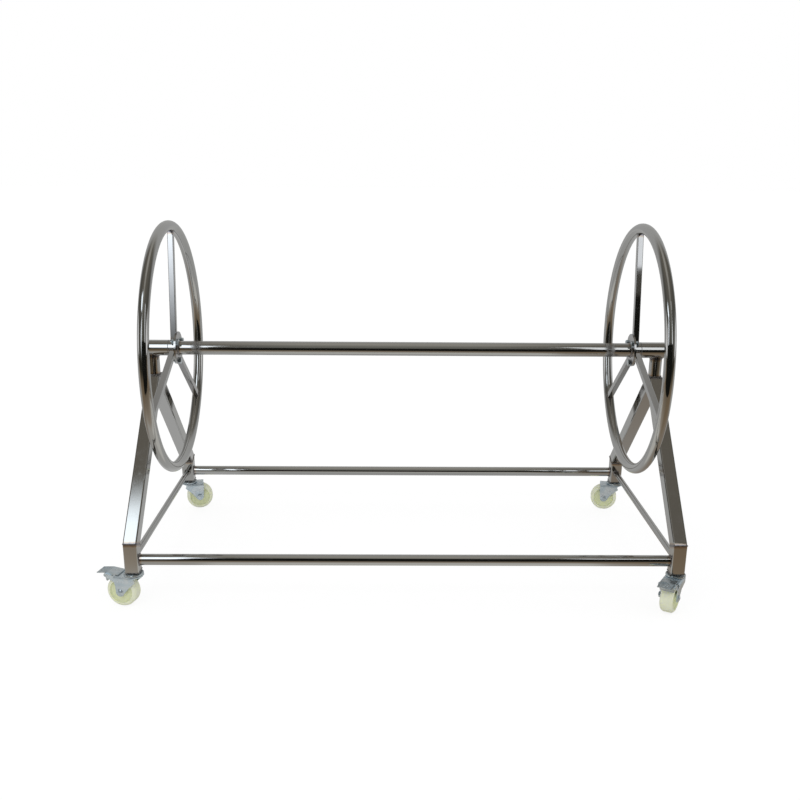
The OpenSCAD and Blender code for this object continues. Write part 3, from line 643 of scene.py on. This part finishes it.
def add_reel_welds():
    """Beads of the reel: axle to flange, hub to flange, and each spoke to the hub and to the rim."""
    axle_r = (corners("axle_tube")[1][2] - corners("axle_tube")[0][2]) / 2
    for name, side in SIDES.items():
        low, high, mid = corners(f"axle_flange_{name}")
        inner, outer = sorted([low[0], high[0]], key=abs)
        beads = [bead(circle((inner, 0, axle_z), 0, axle_r), (1, 0, 0), 0.0024),
                 bead(circle((side * (wheel_x - 0.009), 0, axle_z), 0, sleeve_r), (1, 0, 0), 0.0020)]
        for angle in SPOKE_ANGLES:
            spoke = (0, math.sin(math.radians(angle)), math.cos(math.radians(angle)))
            beads.append(bead(spoke_path(side, angle, on_hub), spoke, 0.0018))
            beads.append(bead(spoke_path(side, angle, in_rim), spoke, 0.0018))
        sweep_mesh(f"reel_welds_{name}", beads, bead_steel, "reel")


add_stand_welds()
add_reel_welds()


# Floor, room and lamps, and the painted reflections that the steel mirrors

def glossy_mix(tree, seen, mirrored, plain):
    """Shader that is seen by the camera and through glass, mirrored by gloss, and plain to everything else."""
    path = add(tree, "ShaderNodeLightPath")
    watched = sum_up(tree, "MAXIMUM", path.outputs["Is Camera Ray"], path.outputs["Is Transmission Ray"])
    first = add(tree, "ShaderNodeMixShader", {0: watched, 1: plain.outputs[0], 2: seen.outputs[0]})
    return add(tree, "ShaderNodeMixShader", {
        0: path.outputs["Is Glossy Ray"], 1: first.outputs[0], 2: mirrored.outputs[0]}).outputs[0]


def lay_floor():
    """White floor: bright to the camera with the stand's shadow in it; to the steel, a painted reflection, grey near
    the stand and brown further out.
    """
    mesh = bpy.data.meshes.new("floor")
    mesh.from_pydata([(-30, -30, 0), (30, -30, 0), (30, 30, 0), (-30, 30, 0)], [], [(0, 1, 2, 3)])
    material = bpy.data.materials.new("studio floor")
    material.use_nodes = True
    tree = material.node_tree
    tree.nodes.clear()
    x, y, z = split(tree, add(tree, "ShaderNodeTexCoord").outputs["Object"])
    right = spread(tree, x, 0.2, 1.1)
    ahead = sum_up(tree, "MULTIPLY_ADD", right, 0.14, sum_up(tree, "MULTIPLY", y, -1.0))
    # Painted reflection: the floor as the steel mirrors it, grey near the stand, darkening to brown and black further
    # in front.
    floor_reflection = ramp(tree, spread(tree, ahead, 0.0, 4.0, smooth=False), [
        (0.0, (0.44, 0.44, 0.43)), (0.14, (0.46, 0.44, 0.40)), (0.18, (0.36, 0.31, 0.25)),
        (0.25, (0.26, 0.21, 0.155)), (0.40, (0.17, 0.135, 0.09)), (0.60, (0.08, 0.068, 0.048)),
        (1.0, (0.03, 0.028, 0.02))])
    # Painted reflection: a paler patch under the middle of the stand.
    middle = sum_up(tree, "MULTIPLY", spread(tree, sum_up(tree, "ABSOLUTE", x), 0.65, 0.55),
                    spread(tree, sum_up(tree, "ABSOLUTE", sum_up(tree, "ADD", y, 0.30)), 0.34, 0.22))
    floor_reflection = blend_colours(tree, sum_up(tree, "MULTIPLY", middle, 0.8), floor_reflection, (0.66, 0.65, 0.61))
    # Painted reflection: brown patches out to both sides.
    brown_reflection_mask = sum_up(tree, "MAXIMUM", spread(tree, x, 0.50, 0.85), spread(tree, x, -1.0, -1.5))
    brown_reflection_mask = sum_up(tree, "MULTIPLY", brown_reflection_mask, spread(tree, sum_up(tree, "ABSOLUTE", x), 2.2, 1.6))
    brown_reflection_mask = sum_up(tree, "MULTIPLY", brown_reflection_mask, spread(tree, y, 0.9, 0.0))
    floor_reflection = blend_colours(tree, sum_up(tree, "MULTIPLY", brown_reflection_mask, 0.7), floor_reflection, (0.21, 0.15, 0.09))
    # Painted highlight: a pale patch in the reflection, left of the stand.
    bright = spread(tree, sum_up(tree, "ABSOLUTE", sum_up(tree, "ADD", x, 0.85)), 0.35, 0.15)
    bright = sum_up(tree, "MULTIPLY", bright, spread(tree, y, 0.0, 0.2))
    floor_reflection = blend_colours(tree, sum_up(tree, "MULTIPLY", bright, 0.5), floor_reflection, (0.62, 0.62, 0.62))
    white = add(tree, "ShaderNodeEmission", {"Color": (1, 1, 1, 1), "Strength": 0.86})
    lit = add(tree, "ShaderNodeBsdfDiffuse", {"Color": (0.9, 0.9, 0.9, 1)})
    shaded = add(tree, "ShaderNodeMixShader", {0: 0.18, 2: lit.outputs[0]})
    seen = add(tree, "ShaderNodeAddShader", {0: white.outputs[0], 1: shaded.outputs[0]})
    # Gloss mirrors this painted reflection, not the white floor that the camera sees.
    mirrored = add(tree, "ShaderNodeEmission", {"Color": floor_reflection, "Strength": 1.0})
    add(tree, "ShaderNodeOutputMaterial", {"Surface": glossy_mix(tree, seen, mirrored, lit)})
    mesh.materials.append(material)
    floor = bpy.data.objects.new("floor", mesh)
    scene.collection.objects.link(floor)


def paint_room():
    """Room round the stand: white to the camera, plain to dull faces, and to the steel a painted reflection of a grey
    room with a white highlight strip low at each side.
    """
    world = bpy.data.worlds.new("room")
    scene.world = world
    world.use_nodes = True
    tree = world.node_tree
    tree.nodes.clear()
    x, y, z = split(tree, add(tree, "ShaderNodeTexCoord").outputs["Generated"])
    height = spread(tree, z, 0.0, 1.0, smooth=False)
    # Painted reflection by height: dark low in front, grey behind, dark to the sides, paler overhead.
    front = ramp(tree, height, [
        (0.0, (0.025, 0.023, 0.019)), (0.12, (0.05, 0.047, 0.04)), (0.26, (0.13, 0.13, 0.115)),
        (0.42, (0.19, 0.19, 0.17)), (0.72, (0.22, 0.215, 0.19)), (0.88, (0.30, 0.29, 0.26)),
        (1.0, (0.39, 0.375, 0.34))])
    rear = ramp(tree, height, [
        (0.0, (0.42, 0.42, 0.42)), (0.42, (0.44, 0.44, 0.43)), (0.70, (0.44, 0.44, 0.43)),
        (0.90, (0.42, 0.415, 0.395)), (1.0, (0.39, 0.38, 0.35))])
    sides = ramp(tree, height, [
        (0.0, (0.05, 0.047, 0.037)), (0.20, (0.10, 0.095, 0.08)), (0.50, (0.095, 0.092, 0.08)),
        (0.80, (0.14, 0.13, 0.11)), (0.95, (0.16, 0.145, 0.12)), (1.0, (0.34, 0.325, 0.29))])
    sideways = sum_up(tree, "ABSOLUTE", x)
    behind = spread(tree, y, 0.25, 0.70)
    painted_reflection = blend_colours(tree, spread(tree, sideways, 0.08, 0.24), front, sides)
    painted_reflection = blend_colours(tree, behind, painted_reflection, rear)
    # Painted highlight: a white strip low at each side.
    highlight_strip = sum_up(tree, "MULTIPLY", spread(tree, sideways, 0.93, 0.975), spread(tree, z, 0.30, 0.20))
    painted_reflection = blend_colours(tree, sum_up(tree, "MULTIPLY", highlight_strip, 0.9), painted_reflection, (1.0, 1.0, 1.0))
    plain = add(tree, "ShaderNodeBackground", {"Color": (0.92, 0.92, 0.92, 1), "Strength": 1.0})
    white = add(tree, "ShaderNodeBackground", {"Color": (1, 1, 1, 1), "Strength": 1.0})
    mirrored = add(tree, "ShaderNodeBackground", {"Color": painted_reflection, "Strength": 1.0})
    add(tree, "ShaderNodeOutputWorld", {"Surface": glossy_mix(tree, white, mirrored, plain)})


def stand_screen(name, place, turn, size, colour, strength, soft):
    """Screen of width and height size that only gloss mirrors, whose sides and ends fade out over two shares: a
    painted reflection that no other ray sees.
    """
    mesh = bpy.data.meshes.new(name)
    mesh.from_pydata([(-1, 0, -1), (1, 0, -1), (1, 0, 1), (-1, 0, 1)], [], [(0, 1, 2, 3)])
    material = bpy.data.materials.new(name)
    material.use_nodes = True
    tree = material.node_tree
    tree.nodes.clear()
    x, y, z = split(tree, add(tree, "ShaderNodeTexCoord").outputs["Object"])
    across = spread(tree, sum_up(tree, "ABSOLUTE", x), 1.0, 1.0 - soft[0])
    upright = spread(tree, sum_up(tree, "ABSOLUTE", z), 1.0, 1.0 - soft[1])
    light = add(tree, "ShaderNodeEmission", {"Color": (*colour, 1), "Strength": strength})
    clear = add(tree, "ShaderNodeBsdfTransparent")
    add(tree, "ShaderNodeOutputMaterial", {"Surface": add(tree, "ShaderNodeMixShader", {
        0: sum_up(tree, "MULTIPLY", across, upright), 1: clear.outputs[0], 2: light.outputs[0]}).outputs[0]})
    mesh.materials.append(material)
    screen = bpy.data.objects.new(name, mesh)
    screen.location = place
    screen.rotation_euler = np.radians(turn).tolist()
    screen.scale = (size[0] / 2, 1, size[1] / 2)
    screen.visible_camera = screen.visible_diffuse = screen.visible_transmission = screen.visible_shadow = False
    scene.collection.objects.link(screen)


def hang_lamp(name, place, target, size, power, colour):
    """Flat lamp of width and height size, turned towards a point, which gloss doesn't mirror."""
    data = bpy.data.lights.new(name, "AREA")
    data.shape = "RECTANGLE"
    data.size, data.size_y = size
    data.energy = power
    data.color = colour
    lamp = bpy.data.objects.new(name, data)
    lamp.location = place
    lamp.rotation_euler = (Vector(target) - Vector(place)).to_track_quat("-Z", "Y").to_euler()
    lamp.visible_glossy = False
    scene.collection.objects.link(lamp)


lay_floor()
paint_room()
# Painted dark reflection: a near-black screen in front that only the steel mirrors.
stand_screen("dark reflection screen", (0.18, -1.09, 0.61), (0, 0, 0), (2.1, 0.80), (0.010, 0.010, 0.008), 1.0, (0.08, 0.08))
# Painted highlights: glowing screens, no lamps, that only the steel mirrors.
stand_screen("left highlight screen", (-1.32, -1.93, 1.80), (0, 0, 0), (0.66, 2.20), (0.88, 0.94, 1.0), 2.4, (0.22, 0.9))
stand_screen("right highlight screen", (1.36, -1.93, 2.16), (0, 0, 0), (0.74, 1.86), (0.95, 0.98, 1.0), 1.2, (0.15, 0.03))
stand_screen("overhead highlight screen", (-1.75, -1.77, 2.75), (90, 0, 0), (1.2, 1.25), (0.86, 0.94, 1.0), 1.9, (0.2, 0.5))
hang_lamp("window", (-1.2, -2.5, 2.75), (-0.2, 0, 0.3), (1.7, 0.7), 15, (0.93, 0.97, 1.0))
